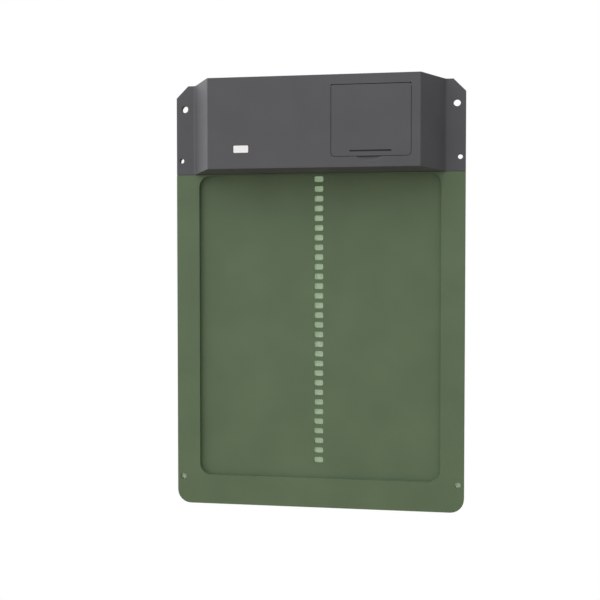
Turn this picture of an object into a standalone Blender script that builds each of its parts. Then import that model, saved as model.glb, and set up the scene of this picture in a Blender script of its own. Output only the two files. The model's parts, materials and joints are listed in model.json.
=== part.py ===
"""Automatic poultry-house door: a battery drive housing on a framed sliding panel.

Design numbers are millimetres in the plate frame: X to the right, Y into the wall, Z up, with
y = 0 on the front of the frame plate and z = 0 on its bottom edge. Everything hangs on one empty,
which puts the world origin on the wall plane, midway between the two upper screw holes.
"""

import math

import bmesh
import bpy
from mathutils import Vector

MM = 0.001

# Overall sizes
WIDTH = 300.0
HEIGHT = 438.8
WALL_Y = 11.0
SKIN = 2.6
SHELL = 2.4
GAP = 0.3
WELD = 0.002
SEAM_Z = 346.0
EAR_CHAMFER = 12.5
EAR_THICK = 2.7
TOP_PLATE_Y = (3.0, 4.7)

# Screw holes in the frame and the ears: x, z, radius
UPPER_HOLE = (141.2, 414.7, 3.6)
SMALL_HOLE = (144.6, 360.8, 2.5)
LOWER_HOLE = (143.9, 28.2, 3.15)
# Each hole's boss: where it starts behind the front, then its pocket's radius and where that starts
WALL_HOLES = ((LOWER_HOLE, 1.5, 5.0, 2.4), (SMALL_HOLE, 3.6, 3.6, 5.5), (UPPER_HOLE, 3.7, 5.1, 5.5))

# Window and door panel
WINDOW = (-125.8, 30.5, 125.8, 345.0)
WINDOW_CORNER = 12.0
PANEL_X = 131.0
PANEL_Z = (20.5, 432.0)
PANEL_Y = (5.0, 7.6)
SPINE_X = 9.5
SPINE_Y = 9.2
SLOT_SIZE = (9.5, 6.0)
SLOT_CORNER = 1.5
SLOT_FLOOR_Y = 8.0
FIRST_SLOT_Z = 48.96
SLOT_COUNT = 37

# Drive
RACK_MODULE = 3.2
RACK_PITCH = math.pi * RACK_MODULE
RACK_TEETH = 12
PITCH_LINE_Y = 6.3
RACK_RADIUS = RACK_MODULE * RACK_TEETH / 2
PINION_Y = PITCH_LINE_Y - RACK_RADIUS
PINION_Z = FIRST_SLOT_Z + 33 * RACK_PITCH
GEAR_MODULE = 1.0
OUTPUT_TEETH = 28
DRIVE_TEETH = 10
WHEEL_MODULE = 0.7
WHEEL_TEETH = 30
WORM_RADIUS = 4.0
AXLE_Y = -9.4
SHAFT_DISTANCE = GEAR_MODULE * (OUTPUT_TEETH + DRIVE_TEETH) / 2
AXLE_Z = PINION_Z + math.sqrt(SHAFT_DISTANCE**2 - (AXLE_Y - PINION_Y) ** 2)
WHEEL_RADIUS = WHEEL_MODULE * WHEEL_TEETH / 2
WHEEL_X = -28.0
WORM_Y = AXLE_Y - WHEEL_RADIUS - WORM_RADIUS

# Housing
FACE_Y = -37.9
FACE_X = 107.1
FOOT_X = 130.0
FACE_RISE = 1.0
FACE_BOTTOM = 348.4
INNER_FLOOR = 350.9
INNER_TOP = HEIGHT - SHELL
LID = (18.9, 359.2, 97.5, 429.4)
LID_GAP = 0.4
GROOVE_DEPTH = 1.1
LID_CORNER = 3.5
LID_TOP_CORNER = 1.9
BEAD_RADIUS = 1.5
SWING_RADIUS = 1.75
PIN_RADIUS = 0.6
HINGE_Y = FACE_Y + BEAD_RADIUS
HINGE_Z = LID[3] - BEAD_RADIUS
LENS = (-80.2, 364.4, -65.1, 371.6)
CASE = (-42.0, 363.0, -12.0, 413.5)
TRAY = (16.5, 357.0, 99.8, 431.8)
BOARD = (-102.0, 355.0, -50.0, 431.0)
HOUSING_SCREWS = ((-114.0, 356.0), (114.0, 356.0), (-114.0, 430.0), (114.0, 430.0), (4.0, 431.0))
GEARBOX_SCREWS = ((-46.5, 367.0), (-46.5, 405.0), (-8.0, 408.5))
BOARD_SCREWS = ((-98.0, 359.0), (-98.0, 427.0), (-54.0, 359.0), (-54.0, 427.0))
TRAY_SCREWS = ((35.0, 354.0), (85.0, 354.0))
RAIL_SCREW_Z = (60.0, 150.0, 240.0, 330.0)
BRIDGE_SCREW_Z = (399.5, 427.0)
BOTTOM_SCREW_X = (-90.0, 0.0, 90.0)
RAIL_SCREW_X = 136.6
BRIDGE_Z = (394.0, 432.5)
BUTTON_X = 26.0
BUTTON_Z = {"open_button": 404.0, "close_button": 384.0}
CELL_X = (43.0, 58.2, 73.4, 88.6)
CELL_Y = -26.2
CELL_MIDDLE_Z = 391.1

COLOURS = {
    "green_plastic": ((0.112, 0.150, 0.091), 0.55, 0.0),
    "pale_green_foam": ((0.30, 0.36, 0.25), 0.80, 0.0),
    "grey_plastic": ((0.104, 0.102, 0.109), 0.50, 0.0),
    "dark_plastic": ((0.020, 0.020, 0.022), 0.55, 0.0),
    "white_lens": ((0.85, 0.86, 0.87), 0.25, 0.0),
    "steel": ((0.55, 0.56, 0.58), 0.30, 1.0),
    "brass": ((0.65, 0.48, 0.20), 0.30, 1.0),
    "natural_plastic": ((0.62, 0.60, 0.54), 0.40, 0.0),
    "board_green": ((0.02, 0.11, 0.05), 0.45, 0.0),
    "cell_wrap": ((0.05, 0.06, 0.07), 0.30, 0.3),
    "rubber": ((0.03, 0.03, 0.03), 0.80, 0.0),
    "red_wire": ((0.35, 0.03, 0.02), 0.45, 0.0),
}


def clear_scene():
    for obj in list(bpy.data.objects):
        bpy.data.objects.remove(obj, do_unlink=True)


def wall_reference():
    empty = bpy.data.objects.new("wall_reference", None)
    empty.location = (0.0, -WALL_Y * MM, -UPPER_HOLE[1] * MM)
    bpy.context.collection.objects.link(empty)
    bpy.context.view_layer.update()
    return empty


def material(name):
    found = bpy.data.materials.get(name)
    if found:
        return found
    colour, roughness, metallic = COLOURS[name]
    made = bpy.data.materials.new(name)
    made.use_nodes = True
    shader = made.node_tree.nodes["Principled BSDF"]
    shader.inputs["Base Color"].default_value = (*colour, 1.0)
    shader.inputs["Roughness"].default_value = roughness
    shader.inputs["Metallic"].default_value = metallic
    return made


# Outlines: lists of (u, v) points, counter-clockwise


def arc(cx, cy, radius, start, end, steps):
    turns = [math.radians(start + (end - start) * i / steps) for i in range(steps + 1)]
    return [(cx + radius * math.cos(a), cy + radius * math.sin(a)) for a in turns]


def circle(cx, cy, radius, sides=16):
    return arc(cx, cy, radius, 0, 360 - 360 / sides, sides - 1)


def rounded(x0, y0, x1, y1, radius, steps=4):
    r = radius
    return (
        arc(x1 - r, y0 + r, r, -90, 0, steps)
        + arc(x1 - r, y1 - r, r, 0, 90, steps)
        + arc(x0 + r, y1 - r, r, 90, 180, steps)
        + arc(x0 + r, y0 + r, r, 180, 270, steps)
    )


def rectangle(x0, y0, x1, y1):
    return [(x0, y0), (x1, y0), (x1, y1), (x0, y1)]


# Solids


def along(axis, u, v, w):
    """A point from outline coordinates (u, v) and the distance w along the extrusion axis."""
    return {"X": (w, u, v), "Y": (u, w, v), "Z": (u, v, w)}[axis]


def add_prism(bm, outline, axis, start, end):
    low = [bm.verts.new(Vector(along(axis, u, v, start)) * MM) for u, v in outline]
    high = [bm.verts.new(Vector(along(axis, u, v, end)) * MM) for u, v in outline]
    count = len(outline)
    bm.faces.new(low)
    bm.faces.new(list(reversed(high)))
    for i in range(count):
        j = (i + 1) % count
        bm.faces.new((low[j], low[i], high[i], high[j]))


def add_tube(bm, outer, inner, axis, start, end):
    """A prism with a hole through it; both outlines have the same number of points."""
    rings = []
    for outline, at in ((outer, start), (outer, end), (inner, end), (inner, start)):
        rings.append([bm.verts.new(Vector(along(axis, u, v, at)) * MM) for u, v in outline])
    count = len(outer)
    for a, b in zip(rings, rings[1:] + rings[:1], strict=True):
        for i in range(count):
            j = (i + 1) % count
            bm.faces.new((a[i], a[j], b[j], b[i]))


def add_turned(bm, profile, axis, centre, sides=12):
    """A solid of revolution: profile holds (radius, position along the axis), ends at radius 0."""
    cu, cv = centre
    rings = []
    for radius, w in profile:
        if radius == 0:
            rings.append([bm.verts.new(Vector(along(axis, cu, cv, w)) * MM)])
            continue
        ring = []
        for u, v in circle(cu, cv, radius, sides):
            ring.append(bm.verts.new(Vector(along(axis, u, v, w)) * MM))
        rings.append(ring)
    for a, b in zip(rings, rings[1:], strict=False):
        for i in range(sides):
            j = (i + 1) % sides
            if len(a) == 1:
                bm.faces.new((a[0], b[i], b[j]))
            elif len(b) == 1:
                bm.faces.new((a[i], b[0], a[j]))
            else:
                bm.faces.new((a[i], b[i], b[j], a[j]))


def finish(name, bm, finish_name, parent, origin=(0.0, 0.0, 0.0)):
    """Turn a bmesh in plate coordinates into an object whose own origin is at the given point."""
    bmesh.ops.recalc_face_normals(bm, faces=bm.faces)
    offset = Vector(origin) * MM
    bmesh.ops.translate(bm, vec=-offset, verts=bm.verts)
    mesh = bpy.data.meshes.new(name)
    bm.to_mesh(mesh)
    bm.free()
    mesh.shade_smooth()
    mesh.set_sharp_from_angle(angle=math.radians(30))
    mesh.materials.append(material(finish_name))
    obj = bpy.data.objects.new(name, mesh)
    obj.parent = parent
    obj.location = offset
    bpy.context.collection.objects.link(obj)
    return obj


def prism(name, outline, axis, start, end, finish_name, parent):
    bm = bmesh.new()
    add_prism(bm, outline, axis, start, end)
    return finish(name, bm, finish_name, parent)


def turned(name, profile, axis, centre, sides, finish_name, parent):
    bm = bmesh.new()
    add_turned(bm, profile, axis, centre, sides)
    return finish(name, bm, finish_name, parent)


def apply_boolean(obj, operation, tool):
    """Boolean the tool into the object, remove it, and weld the seam's coincident points."""
    step = obj.modifiers.new("step", "BOOLEAN")
    step.operation = operation
    step.object = tool
    step.use_self = True
    bpy.context.view_layer.update()
    graph = bpy.context.evaluated_depsgraph_get()
    result = bpy.data.meshes.new_from_object(obj.evaluated_get(graph))
    obj.modifiers.clear()
    bpy.data.objects.remove(tool, do_unlink=True)
    bm = bmesh.new()
    bm.from_mesh(result)
    bmesh.ops.remove_doubles(bm, verts=bm.verts, dist=WELD * MM)
    bm.to_mesh(result)
    bm.free()
    own_material = obj.data.materials[0]
    result.materials.clear()
    result.materials.append(own_material)
    result.shade_smooth()
    result.set_sharp_from_angle(angle=math.radians(30))
    obj.data = result


def combine(obj, operation, shapes):
    """Boolean (outline, axis, start, end) prisms into the object, all in one step."""
    bm = bmesh.new()
    for outline, axis, start, end in shapes:
        add_prism(bm, outline, axis, start, end)
    apply_boolean(obj, operation, finish("tool", bm, "rubber", obj.parent))


def join(obj, *shapes):
    combine(obj, "UNION", shapes)


def cut(obj, *shapes):
    combine(obj, "DIFFERENCE", shapes)


# Gears


def gear_outline(teeth, module, tip, root, half_tooth, phase):
    """A spur outline: straight root flanks and a tooth that narrows to 60% at its tip."""
    pitch_radius = module * teeth / 2
    outline = []
    step = 2 * math.pi / teeth
    half = half_tooth / pitch_radius
    for i in range(teeth):
        middle = phase + i * step
        stations = (
            (root, -1.25 * half),
            (pitch_radius, -half),
            (tip, -0.6 * half),
            (tip, 0.6 * half),
            (pitch_radius, half),
            (root, 1.25 * half),
        )
        for radius, turn in stations:
            angle = middle + turn
            outline.append((radius * math.cos(angle), radius * math.sin(angle)))
    return outline


def moved(outline, du, dv):
    return [(u + du, v + dv) for u, v in outline]


def rack_pinion_outline():
    """Radial flanks below the pitch circle and involutes of the pitch circle above it."""
    half = 2.35 / RACK_RADIUS
    stations = [(RACK_RADIUS - 3.4, half)]
    for radius in (RACK_RADIUS, RACK_RADIUS + 0.7, RACK_RADIUS + 1.3):
        pressure = math.acos(RACK_RADIUS / radius)
        stations.append((radius, half - (math.tan(pressure) - pressure)))
    outline = []
    for i in range(RACK_TEETH):
        middle = 2 * math.pi * i / RACK_TEETH
        flank = [(r, middle - turn) for r, turn in stations]
        flank += [(r, middle + turn) for r, turn in reversed(stations)]
        outline += [(r * math.cos(a), r * math.sin(a)) for r, a in flank]
    return moved(outline, PINION_Y, PINION_Z)


# Fixed structure


def ear_outline(inset, top, bottom):
    """The plate's outline with rounded lower corners and chamfered upper ones, pulled in."""
    side = WIDTH / 2 - inset
    corner = 14.0 - inset
    chamfer = EAR_CHAMFER - inset * 0.4
    lower = arc(side - corner, bottom + corner, corner, -90, 0, 6)
    upper = [(side, top - chamfer), (side - chamfer, top)]
    right = lower + upper
    return right + [(-x, z) for x, z in reversed(right)]


def frame_plate(parent):
    obj = prism(
        "frame_plate", ear_outline(0.0, HEIGHT, 0.0), "Y", 0.0, WALL_Y, "green_plastic", parent
    )
    far = 160.0
    edge = WIDTH / 2 - 2.2
    rounded_end = [p for p in ear_outline(2.2, HEIGHT, 2.2) if p[1] < 20 and p[0] > 0]
    low_pocket = rounded_end + [(edge, 343.4)]
    low_pocket += [(-x, z) for x, z in reversed(low_pocket)]
    top_pocket = [(-edge, 343.0), (edge, 343.0), (edge, HEIGHT - 13.4), (134.3, HEIGHT + 0.1)]
    top_pocket += [(134.3, HEIGHT + 9), (-134.3, HEIGHT + 9), (-134.3, HEIGHT + 0.1)]
    top_pocket += [(-edge, HEIGHT - 13.4)]
    cut(
        obj,
        (rectangle(-far, SEAM_Z, far, HEIGHT + 9), "Y", -9.0, TOP_PLATE_Y[0]),
        (low_pocket, "Y", SKIN, WALL_Y + 9),
        (top_pocket, "Y", TOP_PLATE_Y[1], WALL_Y + 9),
    )
    x0, z0, x1, z1 = WINDOW
    lip = rounded(x0 - 2, z0 - 2, x1 + 2, z1 - 1.0, WINDOW_CORNER + 1)
    ribs = [(lip, "Y", 1.2, 4.7)]
    for side in (-1, 1):
        low, high = sorted((side * 131.5, side * 134.0))
        ribs.append((rectangle(low, 26.0, high, 343.2), "Y", 1.3, 4.7))
        for z in (95.0, 185.0, 275.0):
            low, high = sorted((side * 134.4, side * 148.5))
            ribs.append((rectangle(low, z, high, z + 1.8), "Y", 1.3, 6.5))
        for z in RAIL_SCREW_Z:
            ribs.append((circle(side * RAIL_SCREW_X, z, 2.5, 8), "Y", 1.4, 7.0))
        for z in BRIDGE_SCREW_Z:
            ribs.append((circle(side * RAIL_SCREW_X, z, 2.5, 8), "Y", 4.0, 7.0))
        for (x, z, r), front, *_ in WALL_HOLES:
            ribs.append((circle(side * x, z, min(r + 3.4, 149.4 - x), 16), "Y", front, WALL_Y - 0.01))
    for x in BOTTOM_SCREW_X:
        ribs.append((circle(x, 15.0, 3.5, 8), "Y", 1.4, 4.7))
    for x in (-60.0, -30.0, 30.0, 60.0):
        ribs.append((rectangle(x, 1.5, x + 1.8, 29.0), "Y", 1.35, 4.6))
    join(obj, *ribs)
    holes = [(rounded(*WINDOW, WINDOW_CORNER, 8), "Y", -1.0, WALL_Y + 1)]
    slit = rounded(-7.0, PINION_Z - 16.5, 7.0, PINION_Z + 16.5, 2.0, 2)
    holes.append((slit, "Y", 2.0, WALL_Y + 1))
    for side in (-1, 1):
        for z in RAIL_SCREW_Z:
            holes.append((circle(side * RAIL_SCREW_X, z, 1.4, 8), "Y", 2.2, WALL_Y + 1))
        for z in BRIDGE_SCREW_Z:
            holes.append((circle(side * RAIL_SCREW_X, z, 1.4, 8), "Y", 3.6, WALL_Y + 1))
        for (x, z, r), _, pocket_radius, pocket_front in WALL_HOLES:
            holes.append((circle(side * x, z, r, 20), "Y", -1.0, WALL_Y + 1))
            holes.append((circle(side * x, z, pocket_radius, 16), "Y", pocket_front, WALL_Y + 1))
    for x in BOTTOM_SCREW_X:
        holes.append((circle(x, 15.0, 1.4, 10), "Y", 1.9, WALL_Y + 1))
    for x, z in HOUSING_SCREWS:
        holes.append((circle(x, z, 1.8, 10), "Y", 2.0, WALL_Y + 1))
        holes.append((circle(x, z, 3.4, 10), "Y", 3.9, TOP_PLATE_Y[1] + 1))
    cut(obj, *holes)


def hole_seals(parent):
    x, z, _ = LOWER_HOLE
    for name, side in (("hole_seal_left", -1), ("hole_seal_right", 1)):
        prism(name, circle(side * x, z, 4.6, 16), "Y", 2.7, 9.3, "pale_green_foam", parent)


def side_rails(parent):
    for name, side in (("side_rail_left", -1), ("side_rail_right", 1)):
        section = [
            (126.8, 7.9), (131.5, 7.9), (131.5, 5.0), (134.0, 5.0), (134.0, 7.3),
            (139.0, 7.3), (139.0, 9.3), (134.0, 9.3), (134.0, 11.0), (126.8, 11.0),
        ]
        outline = [(side * x, y) for x, y in section]
        obj = prism(name, outline, "Z", 38.0, 392.0, "green_plastic", parent)
        holes = [(circle(side * RAIL_SCREW_X, z, 1.4, 10), "Y", 6.0, 10.5) for z in RAIL_SCREW_Z]
        low, high = sorted((side * 138.0, side * 140.0))
        holes.append((rectangle(low, 352.0, high, 370.0), "Y", 6.0, 12.0))
        cut(obj, *holes)


def bottom_rail(parent):
    section = [(5.0, 9.0), (11.0, 9.0), (11.0, 28.0), (7.9, 28.0), (7.9, 20.2), (5.0, 20.2)]
    obj = prism("bottom_rail", section, "X", -131.2, 131.2, "green_plastic", parent)
    holes = []
    for x in BOTTOM_SCREW_X:
        holes.append((circle(x, 15.0, 1.4, 10), "Y", 4.0, 12.0))
        holes.append((circle(x, 15.0, 3.2, 12), "Y", 8.6, 12.0))
    cut(obj, *holes)


def rear_bridge(parent):
    """Holds the panel up to the pinion: its pads run on the panel's back beside the spine."""
    right = [
        (14.0, 9.6), (14.0, 7.9), (20.0, 7.9), (20.0, 9.6), (100.0, 9.6), (100.0, 7.9),
        (106.0, 7.9), (106.0, 9.6), (131.5, 9.6), (131.5, 5.0), (134.0, 5.0), (134.0, 7.3),
        (139.0, 7.3), (139.0, 11.0),
    ]
    section = right + [(-x, y) for x, y in reversed(right)]
    obj = prism("rear_bridge", section, "Z", *BRIDGE_Z, "green_plastic", parent)
    holes = []
    for side in (-1, 1):
        for z in BRIDGE_SCREW_Z:
            holes.append((circle(side * RAIL_SCREW_X, z, 1.4, 10), "Y", 6.0, 12.0))
            holes.append((circle(side * RAIL_SCREW_X, z, 2.3, 10), "Y", 9.2, 12.0))
        low, high = sorted((side * 134.2, side * 141.0))
        holes.append((rectangle(low, 404.0, high, 423.0), "Y", 6.0, 12.0))
    cut(obj, *holes)


# Housing


def housing_profile(inset):
    """Half of the housing's section in X and Y, from the face edge to the foot of the slope."""
    run = FOOT_X - FACE_X
    slope = math.hypot(run, FACE_Y)
    shift = inset * slope / abs(FACE_Y)
    corner = inset * (slope - run) / abs(FACE_Y)
    return (FACE_X - corner, FACE_Y + inset), (FOOT_X - shift, 0.0)


def lid_outline(gap):
    """The lid's outline, or with a gap the opening round it, tighter at the top so that the lid can swing."""
    x0, z0, x1, z1 = LID[0] - gap, LID[1] - gap, LID[2] + gap, LID[3] + gap
    low = LID_CORNER + gap
    high = LID_TOP_CORNER - 2 * gap
    points = arc(x0 + low, z0 + low, low, 180, 270, 5) + arc(x1 - low, z0 + low, low, 270, 360, 5)
    return points + arc(x1 - high, z1 - high, high, 0, 90, 5) + arc(x0 + high, z1 - high, high, 90, 180, 5)


def front_housing(parent):
    (face_x, face_y), (foot_x, _) = housing_profile(0.0)
    ux, uy = foot_x - face_x, -face_y
    length = math.hypot(ux, uy)
    ux, uy = ux / length, uy / length
    edge = [(face_x - 0.9, face_y), (face_x - 0.25, face_y + 0.2), (face_x + 0.8 * ux, face_y + 0.8 * uy)]
    foot = [(foot_x - 2.2 * ux, -2.2 * uy), (foot_x + 0.1, -0.75), (foot_x + 1.1, -0.2), (foot_x + 2.4, 0.0)]
    side = edge + foot + [(WIDTH / 2, 0.0), (WIDTH / 2, EAR_THICK)]
    outline = [(-x, y) for x, y in reversed(side)] + side
    obj = prism("front_housing", outline, "Z", SEAM_Z + GAP, HEIGHT + FACE_RISE, "grey_plastic", parent)
    (inner_x, inner_y), (inner_foot, _) = housing_profile(SHELL)
    inner_foot -= 1.0
    hollow = [(-inner_foot, 0.0), (-inner_x, inner_y), (inner_x, inner_y), (inner_foot, 0.0)]
    hollow += [(inner_foot, 9.0), (-inner_foot, 9.0)]
    underside = [(-45.0, 330.0), (0.0, 330.0), (0.0, SEAM_Z + GAP), (FACE_Y, FACE_BOTTOM)]
    underside += [(-45.0, FACE_BOTTOM + 0.4)]
    above = [(0.0, HEIGHT), (10.0, HEIGHT), (10.0, HEIGHT + 5), (-45.0, HEIGHT + 5)]
    above += [(-45.0, HEIGHT + FACE_RISE * 45.0 / -FACE_Y)]
    cut(
        obj,
        (hollow, "Z", INNER_FLOOR, INNER_TOP),
        (underside, "X", -160.0, 160.0),
        (above, "X", -160.0, 160.0),
    )
    for side in (-1, 1):
        corner = [(side * 151.0, HEIGHT - EAR_CHAMFER - 1), (side * 151.0, HEIGHT + 1)]
        corner += [(side * (150.0 - EAR_CHAMFER - 1), HEIGHT + 1)]
        cut(obj, (corner, "Y", -0.5, 4.0))
    posts = []
    for x, z in HOUSING_SCREWS:
        start = -18.0 if abs(x) > 50 else -36.6
        posts.append((circle(x, z, 3.5, 14), "Y", start, EAR_THICK))
    for (x, z), end in [(p, -3.0) for p in GEARBOX_SCREWS] + [(p, -31.8) for p in BOARD_SCREWS]:
        posts.append((circle(x, z, 2.9, 12), "Y", -36.5, end))
    for x, z in TRAY_SCREWS:
        posts.append((circle(x, z, 2.6, 12), "Y", -36.5, -31.0))
    posts.append((rectangle(8.0, 349.7, 10.5, 396.0), "Y", -36.4, -1.5))
    posts.append((rectangle(42.0, 350.0, 72.0, 356.6), "Y", -36.3, -33.4))
    join(obj, *posts)
    x0, z0, x1, z1 = LID
    lens = rounded(LENS[0] - GAP, LENS[1] - GAP, LENS[2] + GAP, LENS[3] + GAP, 1.2, 3)
    opening = lid_outline(LID_GAP)
    cuts = [(opening, "Y", FACE_Y - 1, FACE_Y + SHELL + 0.6), (lens, "Y", FACE_Y - 1, -35.0)]
    cuts.append((circle(PINION_Y, PINION_Z, 4.3, 16), "X", 7.0, 12.0))
    for low, high in ((x0 - 2.2, x0 + 1.2), (x1 - 1.2, x1 + 2.2)):
        notch = rectangle(low, HINGE_Z - PIN_RADIUS - GAP, high, HINGE_Z + PIN_RADIUS + GAP)
        cuts.append((notch, "Y", HINGE_Y - PIN_RADIUS - GAP, -34.9))
    for x, z in HOUSING_SCREWS:
        cuts.append((circle(x, z, 1.4, 10), "Y", -8.0, 4.0))
    for points, low, high in (
        (GEARBOX_SCREWS, -12.0, -2.0), (BOARD_SCREWS, -35.0, -31.0), (TRAY_SCREWS, -35.0, -30.0)
    ):
        for x, z in points:
            cuts.append((circle(x, z, 1.4, 10), "Y", low, high))
    for side in (-1, 1):
        for x, z, r in (SMALL_HOLE, UPPER_HOLE):
            cuts.append((circle(side * x, z, r, 24), "Y", -1.0, 4.0))
    cut(obj, *cuts)
    cut_scoop(obj)


def cut_scoop(obj):
    """The finger scoop below the lid: a flat ball, deepest at the lid's edge."""
    middle = (LID[0] + LID[2]) / 2 - 1.2
    bm = bmesh.new()
    bmesh.ops.create_uvsphere(bm, u_segments=32, v_segments=12, radius=1.0)
    for vert in bm.verts:
        x, y, z = vert.co
        vert.co = Vector((middle + 13.2 * x, FACE_Y + 2.0 * y, 359.6 + 6.1 * z)) * MM
    apply_boolean(obj, "DIFFERENCE", finish("tool", bm, "rubber", obj.parent))


def sensor_window(parent):
    bm = bmesh.new()
    add_prism(bm, rounded(*LENS, 0.9, 3), "Y", FACE_Y + 0.35, -34.4)
    finish("sensor_window", bm, "white_lens", parent)
    bm = bmesh.new()
    add_turned(bm, [(0, -33.9), (1.6, -33.9), (2.2, -33.2), (2.2, -31.8), (0, -31.8)], "Y", (-76.5, 368.0))
    finish("light_sensor", bm, "white_lens", parent)
    bm = bmesh.new()
    add_turned(bm, [(0, -33.9), (1.0, -33.7), (1.5, -33.0), (1.5, -31.8), (0, -31.8)], "Y", (-69.0, 368.0))
    finish("status_led", bm, "white_lens", parent)


def housing_screws(parent):
    """Countersunk screws through the frame's upper plate, flush with its back."""
    for i, (x, z) in enumerate(HOUSING_SCREWS):
        bm = bmesh.new()
        profile = [(0, 4.6), (3.0, 4.6), (3.0, 4.25), (1.5, 4.0), (1.1, 3.9), (1.1, -6.0), (0, -6.6)]
        add_turned(bm, profile, "Y", (x, z), 10)
        finish(f"housing_screw_{i + 1}", bm, "steel", parent)


# Battery compartment


def battery_tray(parent):
    x0, z0, x1, z1 = TRAY
    obj = prism("battery_tray", rounded(x0, z0, x1, z1, 4.0, 3), "Y", -35.1, -17.2, "dark_plastic", parent)
    cell_bay = rectangle(34.8, 359.6, 97.6, 422.6)
    side_bay = rectangle(18.6, 359.6, 33.3, 422.6)
    top_bay = rectangle(18.6, 424.2, 97.8, 429.9)
    cut(
        obj,
        (cell_bay, "Y", -40.0, -18.9),
        (side_bay, "Y", -40.0, -18.9),
        (top_bay, "Y", -40.0, -30.0),
        (rectangle(18.6, 359.6, 97.8, 429.9), "Y", -40.0, -33.4),
    )
    lugs = [(rectangle(x - 3.2, 351.2, x + 3.2, 358.0), "Y", -30.7, -28.7) for x, z in TRAY_SCREWS]
    join(obj, *lugs)
    holes = [(circle(x, z, 1.4, 10), "Y", -32.0, -28.0) for x, z in TRAY_SCREWS]
    holes.append((circle(26.0, 418.0, 2.2, 12), "Y", -20.0, -16.0))
    cut(obj, *holes)


def cells(parent):
    """Four AA cells, every second one upside down, each with a spring at its flat end."""
    cell = [(0, 26.3), (2.7, 26.3), (2.7, 25.1), (6.6, 25.1), (7.0, 24.6)]
    cell += [(7.0, -23.7), (6.6, -24.2), (0, -24.2)]
    spring = [(0, -24.5), (2.4, -24.5), (4.6, -30.9), (0, -30.9)]
    for i, x in enumerate(CELL_X):
        way = 1 if i % 2 == 0 else -1
        for name, shape, sides, look in (
            ("aa_cell", cell, 16, "cell_wrap"),
            ("contact_spring", spring, 10, "steel"),
        ):
            profile = [(r, CELL_MIDDLE_Z + way * w) for r, w in shape]
            turned(f"{name}_{i + 1}", profile, "Z", (x, CELL_Y), sides, look, parent)


def controls(parent):
    panel = prism(
        "control_panel", rounded(18.9, 361.5, 33.0, 422.3, 1.5, 2), "Y", -27.5, -26.0, "grey_plastic", parent
    )
    cut(panel, *[(circle(BUTTON_X, z, 3.8, 16), "Y", -29.0, -25.0) for z in BUTTON_Z.values()])
    prism(
        "switch_board", rectangle(19.2, 364.0, 32.7, 420.0), "Y", -22.4, -20.9, "board_green", parent
    )
    for name, z in BUTTON_Z.items():
        body = rectangle(BUTTON_X - 3, z - 3, BUTTON_X + 3, z + 3)
        prism(name.replace("button", "switch"), body, "Y", -23.9, -22.7, "dark_plastic", parent)
        bm = bmesh.new()
        profile = [(0, -29.3), (2.9, -29.3), (3.5, -28.8), (3.5, -25.7), (4.6, -25.7)]
        profile += [(4.6, -25.2), (0, -25.2)]
        add_turned(bm, profile, "Y", (BUTTON_X, z), 20)
        finish(name, bm, "natural_plastic", parent, origin=(BUTTON_X, -29.3, z))


def battery_lid(parent):
    """Rounded flush cover. A bead along its top edge holds the hinge pin, and that edge clears the swing."""
    x0, z0, x1, z1 = LID
    bm = bmesh.new()
    add_prism(bm, lid_outline(0.0), "Y", FACE_Y, FACE_Y + SHELL)
    lid = finish("battery_lid", bm, "grey_plastic", parent)
    meets_edge = math.degrees(math.asin(BEAD_RADIUS / SWING_RADIUS))
    swing = arc(HINGE_Y, HINGE_Z, SWING_RADIUS, 90 + meets_edge, 180 - meets_edge, 3)
    top = [(FACE_Y - 1, swing[0][1]), *swing, (swing[-1][0], z1 + 1), (FACE_Y - 1, z1 + 1)]
    cut(lid, (top, "X", x0 - 1, x1 + 1))
    join(lid, (circle(HINGE_Y, HINGE_Z, BEAD_RADIUS, 20), "X", x0 + 1.6, x1 - 1.6))
    cut(
        lid,
        (circle(HINGE_Y, HINGE_Z, PIN_RADIUS + GAP, 12), "X", x0 - 1, x1 + 1),
        (rounded(37.1, 363.55, 78.7, 365.05, 0.7, 2), "Y", FACE_Y - 1, FACE_Y + GROOVE_DEPTH),
    )
    shift = Vector((0.0, HINGE_Y, HINGE_Z)) * MM
    for vert in lid.data.vertices:
        vert.co -= shift
    lid.location = shift
    pin = bmesh.new()
    add_prism(pin, circle(HINGE_Y, HINGE_Z, PIN_RADIUS, 12), "X", x0 - 1.9, x1 + 1.9)
    finish("lid_hinge_pin", pin, "steel", parent)
    seal = bmesh.new()
    outer = rounded(x0 + 2.2, z0 + 2.2, x1 - 2.2, z1 - 5.2, 3.0, 3)
    inner = rounded(x0 + 3.8, z0 + 3.8, x1 - 3.8, z1 - 6.8, 1.4, 3)
    add_tube(seal, outer, inner, "Y", FACE_Y + SHELL + GAP, FACE_Y + SHELL + GAP + 1.3)
    finish("lid_seal", seal, "rubber", parent, origin=(0.0, HINGE_Y, HINGE_Z))


# Drive


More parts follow.
